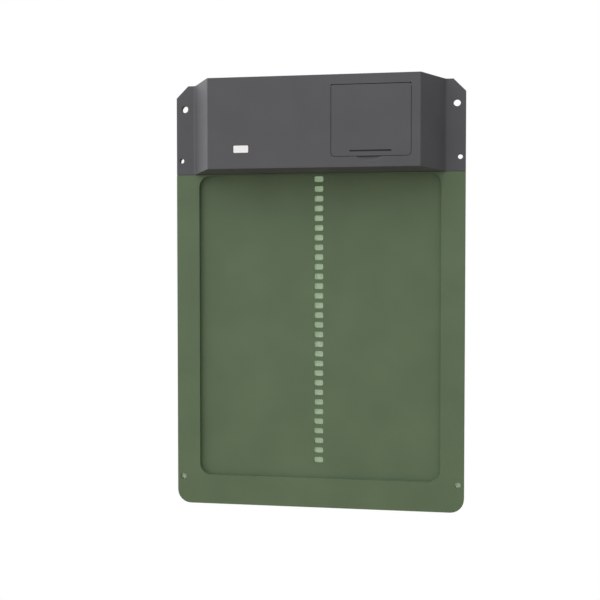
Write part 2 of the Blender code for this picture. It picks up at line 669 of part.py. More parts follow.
def gearbox(parent):
    x0, z0, x1, z1 = CASE
    bm = bmesh.new()
    outer, inner = rounded(x0, z0, x1, z1, 2.0, 2), rounded(x0 + 2, z0 + 2, x1 - 2, z1 - 2, 1.0, 2)
    add_tube(bm, outer, inner, "Y", -33.2, 1.4)
    case = finish("gearbox_case", bm, "dark_plastic", parent)
    lugs = []
    for x, z in GEARBOX_SCREWS:
        low, high = (x - 3.4, x0 + 1) if x < x0 else (x1 - 1, x + 3.4)
        lugs.append((rectangle(low, z - 3.4, high, z + 3.4), "Y", -2.7, -0.7))
    join(case, *lugs)
    cut(
        case,
        (circle(PINION_Y, PINION_Z, 4.3, 16), "X", x0 - 5, x1 + 5),
        (circle(AXLE_Y, AXLE_Z, 1.8, 12), "X", x0 - 1, x1 + 1),
        (circle(WHEEL_X, WORM_Y, 3.0, 12), "Z", z1 - 5, z1 + 5),
        *[(circle(x, z, 1.4, 10), "Y", -4.0, 1.0) for x, z in GEARBOX_SCREWS],
    )
    prism("gearbox_cover", rounded(x0, z0, x1, z1, 2.0, 2), "Y", -35.1, -33.5, "dark_plastic", parent)
    prism("intermediate_axle", circle(AXLE_Y, AXLE_Z, 1.5, 12), "X", x0, x1, "steel", parent)
    outer, inner = circle(PINION_Y, PINION_Z, 4.0, 16), circle(PINION_Y, PINION_Z, 2.8, 16)
    for i, (low, high) in enumerate(((x0 - 0.8, x0 + 3.0), (x1 - 3.0, x1 + 0.8), (7.4, 11.2))):
        bm = bmesh.new()
        add_tube(bm, outer, inner, "X", low, high)
        finish(f"output_bush_{i + 1}", bm, "brass", parent)


def output_shaft(parent):
    centre = (0.0, PINION_Y, PINION_Z)
    bm = bmesh.new()
    add_prism(bm, circle(PINION_Y, PINION_Z, 2.5, 16), "X", -44.5, 13.0)
    finish("output_shaft", bm, "steel", parent, origin=centre)
    towards_axle = gear_outline(OUTPUT_TEETH, GEAR_MODULE, 14.9, 12.8, 0.70, line_of_centres())
    gear = moved(towards_axle, PINION_Y, PINION_Z)
    bm = bmesh.new()
    add_prism(bm, gear, "X", -22.0, -16.5)
    obj = finish("output_gear", bm, "natural_plastic", parent)
    cut(obj, (circle(PINION_Y, PINION_Z, 2.8, 16), "X", -30.0, -10.0))
    bm = bmesh.new()
    add_prism(bm, rack_pinion_outline(), "X", -4.3, 4.3)
    obj = finish("rack_pinion", bm, "natural_plastic", parent)
    cut(obj, (circle(PINION_Y, PINION_Z, 2.8, 16), "X", -9.0, 9.0))


def line_of_centres():
    """The direction from the output shaft to the intermediate axle, as an angle in Y and Z."""
    return math.atan2(AXLE_Z - PINION_Z, AXLE_Y - PINION_Y)


def compound_gear(parent):
    """The worm wheel and the drive pinion moulded in one piece."""
    tooth_space = line_of_centres() + math.pi + math.pi / DRIVE_TEETH
    pinion = gear_outline(DRIVE_TEETH, GEAR_MODULE, 5.9, 3.8, 0.62, tooth_space)
    wheel_space = math.pi + math.pi / WHEEL_TEETH
    wheel = gear_outline(WHEEL_TEETH, WHEEL_MODULE, 11.1, 9.6, 0.42, wheel_space)
    bm = bmesh.new()
    add_prism(bm, moved(wheel, AXLE_Y, AXLE_Z), "X", WHEEL_X - 1.8, WHEEL_X + 1.8)
    obj = finish("compound_gear", bm, "natural_plastic", parent)
    join(
        obj,
        (moved(pinion, AXLE_Y, AXLE_Z), "X", WHEEL_X + 1.0, -15.5),
        (circle(AXLE_Y, AXLE_Z, 3.4, 16), "X", -38.5, WHEEL_X),
    )
    cut(obj, (circle(AXLE_Y, AXLE_Z, 1.8, 12), "X", -45.0, -10.0))


def add_thread(bm, lead, radius, crest, half_root, half_crest, z0, turns, steps, phase):
    """One closed helical thread about a vertical axis, its flanks straight in axial section."""
    rings = []
    count = int(turns * steps)
    for i in range(count + 1):
        angle = phase + 2 * math.pi * i / steps
        z = z0 + lead * i / steps
        ring = []
        for r, dz in ((radius, -half_root), (crest, -half_crest), (crest, half_crest), (radius, half_root)):
            point = Vector((WHEEL_X + r * math.cos(angle), WORM_Y + r * math.sin(angle), z + dz))
            ring.append(bm.verts.new(point * MM))
        rings.append(ring)
    bm.faces.new(rings[0])
    bm.faces.new(list(reversed(rings[-1])))
    for a, b in zip(rings, rings[1:], strict=False):
        for i in range(4):
            j = (i + 1) % 4
            bm.faces.new((a[i], b[i], b[j], a[j]))


def worm(parent):
    """Single-start worm. The middle of its thread sits in a tooth space of the wheel at rest."""
    lead = math.pi * WHEEL_MODULE
    turns = 5
    towards_wheel = math.pi / 2
    start = towards_wheel - math.pi * turns
    bm = bmesh.new()
    add_thread(bm, lead, 2.6, WORM_RADIUS + 0.55, 0.62, 0.30, AXLE_Z - lead * turns / 2, turns, 14, start)
    obj = finish("worm", bm, "brass", parent)
    join(obj, (circle(WHEEL_X, WORM_Y, 3.2, 14), "Z", AXLE_Z - 8.0, AXLE_Z + 8.0))
    cut(obj, (circle(WHEEL_X, WORM_Y, 1.5, 10), "Z", AXLE_Z - 20, AXLE_Z + 20))
    bm = bmesh.new()
    add_prism(bm, circle(WHEEL_X, WORM_Y, 1.1, 12), "Z", AXLE_Z - 9.0, 412.6)
    finish("motor_shaft", bm, "steel", parent, origin=(WHEEL_X, WORM_Y, AXLE_Z))


def motor(parent):
    bottom, top = CASE[3] + GAP, 432.6
    can = [(0, bottom), (9.2, bottom), (10.0, bottom + 0.8), (10.0, top), (0, top)]
    bm = bmesh.new()
    add_turned(bm, can, "Z", (WHEEL_X, WORM_Y), 24)
    finish("motor_can", bm, "steel", parent)
    bm = bmesh.new()
    add_turned(bm, [(0, top + GAP), (9.7, top + GAP), (9.2, 435.2), (0, 435.2)], "Z", (WHEEL_X, WORM_Y), 24)
    finish("motor_end_cap", bm, "dark_plastic", parent)


# Electronics


def electronics(parent):
    board = prism("control_board", rounded(*BOARD, 1.5, 2), "Y", -31.5, -29.9, "board_green", parent)
    cut(board, *[(circle(x, z, 1.4, 10), "Y", -33.0, -29.0) for x, z in BOARD_SCREWS])
    back = -29.9 + GAP
    for name, outline, thickness in (
        ("microcontroller", rectangle(-84.0, 388.0, -74.0, 398.0), 1.6),
        ("motor_driver", rectangle(-68.0, 402.0, -62.0, 410.0), 1.8),
    ):
        prism(name, outline, "Y", back, back + thickness, "dark_plastic", parent)
    can = [(0, back), (3.9, back), (4.0, back + 0.8), (4.0, back + 10.6), (3.4, back + 11.2)]
    turned("power_capacitor", can + [(0, back + 11.2)], "Y", (-86.0, 412.0), 16, "cell_wrap", parent)
    for name, z in (("battery_connector", 370.0), ("motor_connector", 420.0)):
        body = rectangle(-66.0, z - 4.0, -58.0, z + 4.0)
        prism(name, body, "Y", back, back + 6.5, "natural_plastic", parent)


def lead(name, route, finish_name, parent):
    """A twin-core lead along a smooth route, as a curve object with filled caps."""
    curve = bpy.data.curves.new(name, "CURVE")
    curve.dimensions = "3D"
    curve.bevel_depth = 1.1 * MM
    curve.bevel_resolution = 1
    curve.use_fill_caps = True
    points = smooth_route(route, 3)
    spline = curve.splines.new("POLY")
    spline.points.add(len(points) - 1)
    for place, point in zip(spline.points, points, strict=True):
        place.co = (*(point * MM), 1.0)
    curve.materials.append(material(finish_name))
    obj = bpy.data.objects.new(name, curve)
    obj.parent = parent
    bpy.context.collection.objects.link(obj)


def smooth_route(route, parts):
    """A Catmull-Rom curve through the route's points."""
    knots = [Vector(p) for p in route]
    knots = [2 * knots[0] - knots[1]] + knots + [2 * knots[-1] - knots[-2]]
    points = []
    for a, b, c, d in zip(knots, knots[1:], knots[2:], knots[3:], strict=False):
        for i in range(parts):
            t = i / parts
            bend = 2 * a - 5 * b + 4 * c - d
            twist = 3 * b - a - 3 * c + d
            points.append(0.5 * (2 * b + (c - a) * t + bend * t**2 + twist * t**3))
    return points + [knots[-2]]


def leads(parent):
    motor_route = [
        (-62.0, -22.6, 420.0), (-58.0, -15.0, 421.0), (-50.0, -8.5, 425.0), (-40.0, -7.0, 429.0),
        (-31.0, -8.5, 431.0), (-28.0, -12.8, 430.0),
    ]
    battery_route = [
        (-62.0, -22.6, 370.0), (-59.0, -13.0, 371.0), (-55.5, -7.0, 382.0), (-55.0, -5.0, 400.0),
        (-51.0, -4.5, 415.0), (-38.0, -4.5, 420.0), (-10.0, -5.0, 420.0), (10.0, -8.0, 419.0),
        (22.0, -12.0, 418.0), (26.0, -16.0, 418.0), (26.0, -20.4, 418.0),
    ]
    lead("motor_lead", motor_route, "red_wire", parent)
    lead("battery_lead", battery_route, "red_wire", parent)


# Door


def door_panel(parent):
    bm = bmesh.new()
    z0, z1 = PANEL_Z
    spine = rectangle(-SPINE_X, PANEL_Y[0] + 0.5, SPINE_X, SPINE_Y)
    add_prism(bm, rectangle(-PANEL_X, z0, PANEL_X, z1), "Y", *PANEL_Y)
    obj = finish("door_panel", bm, "green_plastic", parent)
    join(obj, (spine, "Z", 38.0, z1 - 0.4))
    cut(obj, (rectangle(-7.3, 40.0, 7.3, z1 + 5), "Y", SLOT_FLOOR_Y, 12.0))
    bm = bmesh.new()
    width, height = SLOT_SIZE
    for i in range(SLOT_COUNT):
        z = FIRST_SLOT_Z + i * RACK_PITCH
        outline = rounded(-width / 2, z - height / 2, width / 2, z + height / 2, SLOT_CORNER, 2)
        add_prism(bm, outline, "Y", 4.0, 9.0)
    apply_boolean(obj, "DIFFERENCE", finish("tool", bm, "rubber", parent))
    prism("rack_backing", rectangle(-7.0, 40.3, 7.0, z1 - 0.6), "Y", 8.3, 9.2, "pale_green_foam", parent)


def main():
    clear_scene()
    parent = wall_reference()
    frame_plate(parent)
    hole_seals(parent)
    side_rails(parent)
    bottom_rail(parent)
    rear_bridge(parent)
    front_housing(parent)
    sensor_window(parent)
    battery_tray(parent)
    cells(parent)
    controls(parent)
    battery_lid(parent)
    gearbox(parent)
    output_shaft(parent)
    compound_gear(parent)
    worm(parent)
    motor(parent)
    electronics(parent)
    leads(parent)
    door_panel(parent)
    housing_screws(parent)


main()
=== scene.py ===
"""Looks for the automatic poultry-house door: materials, fine pieces, light and camera."""

import json
import math

import bmesh
import bpy
from mathutils import Matrix, Vector


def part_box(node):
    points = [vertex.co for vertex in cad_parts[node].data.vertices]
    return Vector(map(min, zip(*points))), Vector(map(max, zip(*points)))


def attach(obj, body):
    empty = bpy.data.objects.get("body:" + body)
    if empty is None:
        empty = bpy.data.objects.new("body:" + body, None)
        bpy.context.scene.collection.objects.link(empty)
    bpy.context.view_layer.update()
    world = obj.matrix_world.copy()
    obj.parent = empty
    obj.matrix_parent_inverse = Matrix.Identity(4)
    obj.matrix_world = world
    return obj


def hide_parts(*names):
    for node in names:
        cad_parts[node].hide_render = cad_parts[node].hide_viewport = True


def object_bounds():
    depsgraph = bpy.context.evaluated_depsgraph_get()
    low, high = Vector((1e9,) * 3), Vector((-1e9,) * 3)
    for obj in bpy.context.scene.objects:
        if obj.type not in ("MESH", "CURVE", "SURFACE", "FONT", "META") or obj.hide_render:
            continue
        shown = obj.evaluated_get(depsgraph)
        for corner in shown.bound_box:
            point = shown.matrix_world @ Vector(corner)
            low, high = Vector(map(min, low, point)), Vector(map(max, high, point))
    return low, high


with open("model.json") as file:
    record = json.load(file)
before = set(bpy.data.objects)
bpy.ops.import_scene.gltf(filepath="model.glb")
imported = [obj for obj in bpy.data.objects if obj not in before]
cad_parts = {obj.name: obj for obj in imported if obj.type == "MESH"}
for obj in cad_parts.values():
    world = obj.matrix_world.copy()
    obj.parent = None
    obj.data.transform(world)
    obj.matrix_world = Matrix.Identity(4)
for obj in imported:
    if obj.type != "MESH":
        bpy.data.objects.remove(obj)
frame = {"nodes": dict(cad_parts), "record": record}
cad_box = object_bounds()

NODES = frame["nodes"]
MM = 0.001


# ---------------------------------------------------------------- places

def plate(x, y, z):
    """A point given in millimetres from the middle of the frame plate's lower front edge."""
    low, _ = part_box("frame_plate")
    return Vector((x * MM, low.y + y * MM, low.z + z * MM))


# ---------------------------------------------------------------- colours and materials

def linear(red, green, blue):
    """The scene-linear colour of an 8-bit sRGB one."""
    def channel(value):
        share = value / 255
        return share / 12.92 if share <= 0.04045 else ((share + 0.055) / 1.055) ** 2.4
    return (channel(red), channel(green), channel(blue), 1.0)


def scaled(colour, factor):
    return (*(min(1.0, part * factor) for part in colour[:3]), 1.0)


class Recipe:
    """A node material being built: a Principled shader and short ways to add nodes to it."""

    def __init__(self, name):
        self.made = bpy.data.materials.new(name)
        self.made.use_nodes = True
        self.tree = self.made.node_tree
        self.shader = self.tree.nodes["Principled BSDF"]
        self.place = self.add("ShaderNodeTexCoord").outputs["Object"]

    def add(self, kind, inputs=None, **settings):
        node = self.tree.nodes.new(kind)
        for key, value in settings.items():
            setattr(node, key, value)
        for key, value in (inputs or {}).items():
            if isinstance(value, bpy.types.NodeSocket):
                self.tree.links.new(value, node.inputs[key])
            else:
                node.inputs[key].default_value = value
        return node

    def noise(self, size, detail=3.0, stretch=None):
        """Noise with grains of about that size, in millimetres."""
        place = self.place
        if stretch:
            place = self.add("ShaderNodeVectorMath", {0: place, 1: stretch}, operation="MULTIPLY").outputs[0]
        return self.add(
            "ShaderNodeTexNoise", {"Vector": place, "Scale": 1 / (size * MM), "Detail": detail}
        ).outputs["Fac"]

    def ramp(self, factor, stops):
        node = self.add("ShaderNodeValToRGB", {"Fac": factor})
        band = node.color_ramp
        while len(band.elements) < len(stops):
            band.elements.new(0.5)
        for element, (where, colour) in zip(band.elements, stops):
            element.position = where
            element.color = colour
        return node.outputs["Color"]

    def spread(self, factor, low, high):
        """The factor mapped from 0.3-0.7, where noise mostly lies, to low-high."""
        return self.add(
            "ShaderNodeMapRange",
            {"Value": factor, "From Min": 0.3, "From Max": 0.7, "To Min": low, "To Max": high},
        ).outputs["Result"]

    def bump(self, height, depth, normal=None):
        """A surface relief of about that depth, in millimetres."""
        inputs = {"Height": height, "Strength": 1.0, "Distance": depth * MM}
        if normal:
            inputs["Normal"] = normal
        return self.add("ShaderNodeBump", inputs).outputs["Normal"]

    def set(self, **values):
        for key, value in values.items():
            socket = self.shader.inputs[key.replace("_", " ")]
            if isinstance(value, bpy.types.NodeSocket):
                self.tree.links.new(value, socket)
            else:
                socket.default_value = value
        return self


def moulded(name, colour, roughness=0.5, grain=0.35, relief=0.02, variation=0.05):
    """Injection-moulded plastic: a fine spark-eroded grain, slow flow marks and uneven gloss."""
    recipe = Recipe(name)
    fine = recipe.noise(grain, detail=2.0)
    slow = recipe.noise(45.0, detail=2.0)
    tone = recipe.ramp(slow, [(0.3, scaled(colour, 1 - variation)), (0.7, scaled(colour, 1 + variation))])
    recipe.set(
        Base_Color=tone,
        Roughness=recipe.spread(fine, roughness - 0.06, roughness + 0.06),
        Normal=recipe.bump(fine, relief),
        Specular_IOR_Level=0.35,
    )
    return recipe.made


def foam(name, colour):
    """Pale closed-cell foam that lets light through from behind."""
    recipe = Recipe(name)
    cells = recipe.noise(0.5, detail=4.0)
    tone = recipe.ramp(cells, [(0.35, scaled(colour, 0.88)), (0.65, scaled(colour, 1.06))])
    recipe.set(
        Base_Color=tone,
        Roughness=0.85,
        Normal=recipe.bump(cells, 0.08),
        Specular_IOR_Level=0.2,
        Subsurface_Weight=1.0,
        Subsurface_Radius=(0.004, 0.005, 0.004),
        Subsurface_Scale=1.0,
    )
    return recipe.made


def metal(name, colour, roughness, grain=(1.0, 1.0, 12.0)):
    """Plain metal with fine drawn scratches along one axis."""
    recipe = Recipe(name)
    scratches = recipe.noise(0.6, detail=4.0, stretch=grain)
    tone = recipe.ramp(scratches, [(0.3, scaled(colour, 0.9)), (0.7, colour)])
    recipe.set(
        Base_Color=tone,
        Metallic=1.0,
        Roughness=recipe.spread(scratches, roughness - 0.06, roughness + 0.08),
        Normal=recipe.bump(scratches, 0.003),
    )
    return recipe.made


def lens(name, colour, glow):
    """Frosted translucent plastic with a faint painted glow: an emission that brightens it, with no lamp
    inside.
    """
    recipe = Recipe(name)
    frost = recipe.noise(0.25, detail=2.0)
    tone = recipe.ramp(frost, [(0.3, scaled(colour, 0.97)), (0.7, colour)])
    recipe.set(
        Base_Color=tone,
        Roughness=recipe.spread(frost, 0.22, 0.34),
        Normal=recipe.bump(frost, 0.004),
        Subsurface_Weight=0.2,
        Subsurface_Radius=(0.002, 0.002, 0.002),
        Coat_Weight=0.3,
        # Painted glow: this emission brightens the lens and the arrows, though neither is a lamp.
        Emission_Color=(1.0, 1.0, 1.0, 1.0),
        Emission_Strength=glow,
    )
    return recipe.made


def rubber(name, colour):
    recipe = Recipe(name)
    skin = recipe.noise(0.8, detail=4.0)
    tone = recipe.ramp(skin, [(0.3, scaled(colour, 0.85)), (0.7, scaled(colour, 1.15))])
    recipe.set(Base_Color=tone, Roughness=recipe.spread(skin, 0.7, 0.85), Normal=recipe.bump(skin, 0.02))
    return recipe.made


def solder_mask(name, colour):
    """Circuit board: glass weave under a glossy mask."""
    recipe = Recipe(name)
    weave = recipe.add(
        "ShaderNodeTexWave", {"Vector": recipe.place, "Scale": 320.0, "Distortion": 0.6}, bands_direction="Z"
    ).outputs["Fac"]
    slow = recipe.noise(6.0, detail=2.0)
    tone = recipe.ramp(slow, [(0.35, scaled(colour, 0.85)), (0.65, scaled(colour, 1.15))])
    recipe.set(Base_Color=tone, Roughness=0.3, Normal=recipe.bump(weave, 0.008), Coat_Weight=0.4)
    return recipe.made


GREEN = linear(99, 119, 90)
PALE_GREEN = linear(220, 244, 212)
GREY = linear(91, 92, 96)
DARK = linear(42, 42, 44)

FINISHES = {
    "green_plastic": moulded("green_plastic", GREEN, roughness=0.55),
    "pale_green_foam": foam("pale_green_foam", PALE_GREEN),
    "grey_plastic": moulded("grey_plastic", GREY, roughness=0.5),
    "dark_plastic": moulded("dark_plastic", DARK, roughness=0.45, grain=0.5),
    # glow=0.13 is a painted glow on parts that give no light of their own.
    "white_lens": lens("white_lens", linear(248, 248, 251), glow=0.13),
    "steel": metal("steel", linear(196, 198, 201), 0.3),
    "brass": metal("brass", linear(212, 184, 122), 0.28),
    "natural_plastic": moulded("natural_plastic", linear(206, 203, 192), roughness=0.4, grain=0.8),
    "board_green": solder_mask("board_green", linear(30, 88, 56)),
    "cell_wrap": moulded("cell_wrap", linear(62, 66, 72), roughness=0.28, grain=2.0, relief=0.004),
    "cell_band": metal("cell_band", linear(205, 128, 84), 0.3),
    "rubber": rubber("rubber", linear(44, 44, 45)),
    "wire_red": moulded("wire_red", linear(158, 48, 38), roughness=0.4, grain=1.0),
}
# The strip behind the rack slots: the same foam, in a darker green than the plugs in the screw holes.
SLOT_STRIP = foam("pale_green_strip", linear(181, 195, 175))

SLOT_OF = {entry["node"]: entry["material_slot"] for entry in frame["record"]["subparts"]}


# ---------------------------------------------------------------- light, camera, floor

# The camera's place, its turn to the right and its tilt, fitted to the object's outline.
CAMERA_AT = plate(162.0, -1059.4, 252.4)
CAMERA_YAW = math.radians(9.68)
CAMERA_PITCH = math.radians(-1.96)
SENSOR = 36.0
FOCAL_IN_WIDTHS = 1.731833
FOCAL = FOCAL_IN_WIDTHS * SENSOR


def camera():
    view = bpy.data.cameras.new("camera")
    view.sensor_width = SENSOR
    view.lens = FOCAL
    view.clip_end = 20.0
    holder = bpy.data.objects.new("camera", view)
    holder.location = CAMERA_AT
    ahead = Vector((
        -math.sin(CAMERA_YAW) * math.cos(CAMERA_PITCH),
        math.cos(CAMERA_YAW) * math.cos(CAMERA_PITCH),
        math.sin(CAMERA_PITCH),
    ))
    holder.rotation_euler = ahead.to_track_quat("-Z", "Y").to_euler()
    bpy.context.scene.collection.objects.link(holder)
    bpy.context.scene.camera = holder


WHITE = (1.0, 1.0, 1.0, 1.0)
SKY_LEVEL = 0.73
SKY_SLOPE = 1.0
SKY_TOWARDS = Vector((-0.75, 0.0, 0.66))
SKY_LEAST = 0.05


def studio_world():
    """A soft white studio: brighter up and to the left, dim below, and plain white behind the object."""
    world = bpy.data.worlds.new("studio")
    world.use_nodes = True
    bpy.context.scene.world = world
    tree = world.node_tree
    tree.nodes.clear()
    way = tree.nodes.new("ShaderNodeTexCoord").outputs["Generated"]
    facing = tree.nodes.new("ShaderNodeVectorMath")
    facing.operation = "DOT_PRODUCT"
    facing.inputs[1].default_value = SKY_TOWARDS.normalized()
    tree.links.new(way, facing.inputs[0])
    level = tree.nodes.new("ShaderNodeMath")
    level.operation = "MULTIPLY_ADD"
    level.inputs[1].default_value = SKY_SLOPE
    level.inputs[2].default_value = SKY_LEVEL
    tree.links.new(facing.outputs["Value"], level.inputs[0])
    least = tree.nodes.new("ShaderNodeMath")
    least.operation = "MAXIMUM"
    least.inputs[1].default_value = SKY_LEAST
    tree.links.new(level.outputs[0], least.inputs[0])
    soft = tree.nodes.new("ShaderNodeBackground")
    soft.inputs["Color"].default_value = WHITE
    tree.links.new(least.outputs[0], soft.inputs["Strength"])
    backdrop = tree.nodes.new("ShaderNodeBackground")
    backdrop.inputs["Color"].default_value = WHITE
    backdrop.inputs["Strength"].default_value = 1.0
    seen = tree.nodes.new("ShaderNodeLightPath").outputs["Is Camera Ray"]
    mixed = tree.nodes.new("ShaderNodeMixShader")
    tree.links.new(seen, mixed.inputs[0])
    tree.links.new(soft.outputs[0], mixed.inputs[1])
    tree.links.new(backdrop.outputs[0], mixed.inputs[2])
    out = tree.nodes.new("ShaderNodeOutputWorld")
    tree.links.new(mixed.outputs[0], out.inputs["Surface"])


FLOOR_DROP = 0.10
FLOOR_RADIUS = 3.0
FLOOR_COLOUR = (0.42, 0.37, 0.33, 1.0)


def floor():
    """A plain pale floor below the hanging unit. The camera sees it as white as the backdrop."""
    low, _ = cad_box
    bm = bmesh.new()
    bmesh.ops.create_circle(bm, cap_ends=True, segments=64, radius=FLOOR_RADIUS)
    mesh = bpy.data.meshes.new("floor")
    bm.to_mesh(mesh)
    bm.free()
    ground = bpy.data.objects.new("floor", mesh)
    ground.location = (0.0, 0.0, low[2] - FLOOR_DROP)
    bpy.context.scene.collection.objects.link(ground)
    pale = bpy.data.materials.new("floor")
    pale.use_nodes = True
    tree = pale.node_tree
    shader = tree.nodes["Principled BSDF"]
    shader.inputs["Base Color"].default_value = FLOOR_COLOUR
    shader.inputs["Roughness"].default_value = 0.9
    glow = tree.nodes.new("ShaderNodeEmission")
    seen = tree.nodes.new("ShaderNodeLightPath").outputs["Is Camera Ray"]
    mixed = tree.nodes.new("ShaderNodeMixShader")
    tree.links.new(seen, mixed.inputs[0])
    tree.links.new(shader.outputs[0], mixed.inputs[1])
    tree.links.new(glow.outputs[0], mixed.inputs[2])
    tree.links.new(mixed.outputs[0], tree.nodes["Material Output"].inputs["Surface"])
    ground.data.materials.append(pale)


# ---------------------------------------------------------------- the parts' own finish

SMOOTH_ANGLE = math.radians(35)
BEVEL_ANGLE = math.radians(32)
WELD_DISTANCE = 0.005 * MM
FLAT_ANGLE = math.radians(0.5)
# How far the edges of the two parts in front are rounded, in millimetres.
SOFT_EDGES = {
    "front_housing": 0.3,
    "battery_lid": 0.12,
}


def smoothing():
    """Node group that drops custom normals, shades smoothly and keeps edges over 35 degrees sharp; the weld
    before it joins split corners.
    """
    group = bpy.data.node_groups.new("smooth_by_angle", "GeometryNodeTree")
    group.interface.new_socket("Geometry", in_out="INPUT", socket_type="NodeSocketGeometry")
    group.interface.new_socket("Geometry", in_out="OUTPUT", socket_type="NodeSocketGeometry")
    start = group.nodes.new("NodeGroupInput")
    forget = group.nodes.new("GeometryNodeRemoveAttribute")
    forget.inputs["Name"].default_value = "custom_normal"
    group.links.new(start.outputs[0], forget.inputs["Geometry"])
    smooth = group.nodes.new("GeometryNodeSetShadeSmooth")
    smooth.domain = "FACE"
    group.links.new(forget.outputs["Geometry"], smooth.inputs["Geometry"])
    turn = group.nodes.new("GeometryNodeInputMeshEdgeAngle")
    steep = group.nodes.new("FunctionNodeCompare")
    steep.operation = "LESS_THAN"
    steep.inputs["B"].default_value = SMOOTH_ANGLE
    group.links.new(turn.outputs["Unsigned Angle"], steep.inputs["A"])
    crease = group.nodes.new("GeometryNodeSetShadeSmooth")
    crease.domain = "EDGE"
    group.links.new(smooth.outputs["Geometry"], crease.inputs["Geometry"])
    group.links.new(steep.outputs["Result"], crease.inputs["Shade Smooth"])
    end = group.nodes.new("NodeGroupOutput")
    group.links.new(crease.outputs["Geometry"], end.inputs[0])
    return group


def dress_cad():
    """Gives each CAD part its material and rounds the edges that show."""
    smooth_by_angle = smoothing()
    for name, node in NODES.items():
        finish = SLOT_STRIP if name == "rack_backing" else FINISHES[SLOT_OF[name]]
        for index in range(len(node.material_slots)):
            node.material_slots[index].material = finish
        weld = node.modifiers.new("weld", "WELD")
        weld.merge_threshold = WELD_DISTANCE
        flat = node.modifiers.new("flat", "DECIMATE")
        flat.decimate_type = "DISSOLVE"
        flat.angle_limit = FLAT_ANGLE
        if name in SOFT_EDGES:
            bevel = node.modifiers.new("edge", "BEVEL")
            bevel.width = SOFT_EDGES[name] * MM
            bevel.segments = 3
            bevel.limit_method = "ANGLE"
            bevel.angle_limit = BEVEL_ANGLE
            bevel.use_clamp_overlap = False
        shade = node.modifiers.new("smooth", "NODES")
        shade.node_group = smooth_by_angle
        weight = node.modifiers.new("normals", "WEIGHTED_NORMAL")
        weight.keep_sharp = True


# ---------------------------------------------------------------- making fine pieces


def piece(name, bm, finishes, body="root"):
    """A mesh piece from a bmesh in plate millimetres, riding on a body. Its finishes become its materials in
    order.
    """
    finishes = [finishes] if isinstance(finishes, str) else finishes
    origin = plate(0, 0, 0)
    for vert in bm.verts:
        vert.co = origin + vert.co * MM
    bmesh.ops.recalc_face_normals(bm, faces=bm.faces)
    mesh = bpy.data.meshes.new(name)
    bm.to_mesh(mesh)
    bm.free()
    for finish in finishes:
        mesh.materials.append(FINISHES[finish])
    mesh.shade_smooth()
    mesh.set_sharp_from_angle(angle=SMOOTH_ANGLE)
    made = bpy.data.objects.new(name, mesh)
    bpy.context.scene.collection.objects.link(made)
    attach(made, body)
    return made


def add_lathe(bm, profile, centre, axis="Z", sides=48, material=None):
    """A turned solid. The profile is (radius, distance along the axis) and starts and ends on the axis."""
    rings = []
    for radius, along in profile:
        count = 1 if radius == 0 else sides
        ring = []
        for i in range(count):
            turn = 2 * math.pi * i / sides
            u, v = radius * math.cos(turn), radius * math.sin(turn)
            offset = {"X": (along, u, v), "Y": (u, along, v), "Z": (u, v, along)}[axis]
            ring.append(bm.verts.new(Vector(centre) + Vector(offset)))
        rings.append(ring)
    for step, (a, b) in enumerate(zip(rings, rings[1:])):
        for i in range(sides):
            j = (i + 1) % sides
            corners = [a[i % len(a)], a[j % len(a)], b[j % len(b)], b[i % len(b)]]
            unique = list(dict.fromkeys(corners))
            if len(unique) > 2:
                face = bm.faces.new(unique)
                face.material_index = material(step) if material else 0


def add_block(bm, low, high, edge=0.0, material=0):
    """A box, with its edges rounded by that much."""
    made = bmesh.ops.create_cube(bm, size=1.0)["verts"]
    low, high = Vector(low), Vector(high)
    for vert in made:
        vert.co = (low + high) / 2 + Vector(c * (h - l) for c, h, l in zip(vert.co, high, low))
    faces = {face for vert in made for face in vert.link_faces}
    for face in faces:
        face.material_index = material
    if edge:
        edges = list({e for vert in made for e in vert.link_edges})
        bmesh.ops.bevel(bm, geom=edges, offset=edge, segments=2, affect="EDGES", profile=0.5)


def add_tube(bm, path, radius, sides=10, material=0):
    """A round wire along a list of points, closed at both ends."""
    side = None
    rings = []
    for i, point in enumerate(path):
        ahead = (path[min(i + 1, len(path) - 1)] - path[max(i - 1, 0)]).normalized()
        if side is None:
            side = ahead.orthogonal().normalized()
        side = (side - ahead * side.dot(ahead)).normalized()
        across = ahead.cross(side)
        rings.append([
            bm.verts.new(point + radius * (math.cos(t) * side + math.sin(t) * across))
            for t in (2 * math.pi * k / sides for k in range(sides))
        ])
    for a, b in zip(rings, rings[1:]):
        for k in range(sides):
            j = (k + 1) % sides
            bm.faces.new((a[k], a[j], b[j], b[k])).material_index = material
    bm.faces.new(rings[0]).material_index = material
    bm.faces.new(list(reversed(rings[-1]))).material_index = material


def add_strip(bm, profile, thickness, low_y, high_y):
    """A bent leaf: a polyline in X and Z given that thickness, pulled along Y."""
    upper = [(x, z + thickness) for x, z in reversed(profile)]
    outline = profile + upper
    ends = []
    for y in (low_y, high_y):
        ends.append([bm.verts.new((x, y, z)) for x, z in outline])
    near, far = ends
    bm.faces.new(near)
    bm.faces.new(list(reversed(far)))
    for i in range(len(outline)):
        j = (i + 1) % len(outline)
        bm.faces.new((near[i], near[j], far[j], far[i]))


def middle(node):
    """The middle of a CAD part, in plate millimetres."""
    low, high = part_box(node)
    return ((low + high) / 2 - plate(0, 0, 0)) / MM


def catmull_rom(route, parts):
    """The smooth curve through a route's points."""
    knots = [Vector(point) for point in route]
    knots = [2 * knots[0] - knots[1]] + knots + [2 * knots[-1] - knots[-2]]
    points = []
    for a, b, c, d in zip(knots, knots[1:], knots[2:], knots[3:]):
        for i in range(parts):
            t = i / parts
            bend = 2 * a - 5 * b + 4 * c - d
            twist = 3 * b - a - 3 * c + d
            points.append(0.5 * (2 * b + (c - a) * t + bend * t**2 + twist * t**3))
    return points + [knots[-2]]


# ---------------------------------------------------------------- screws

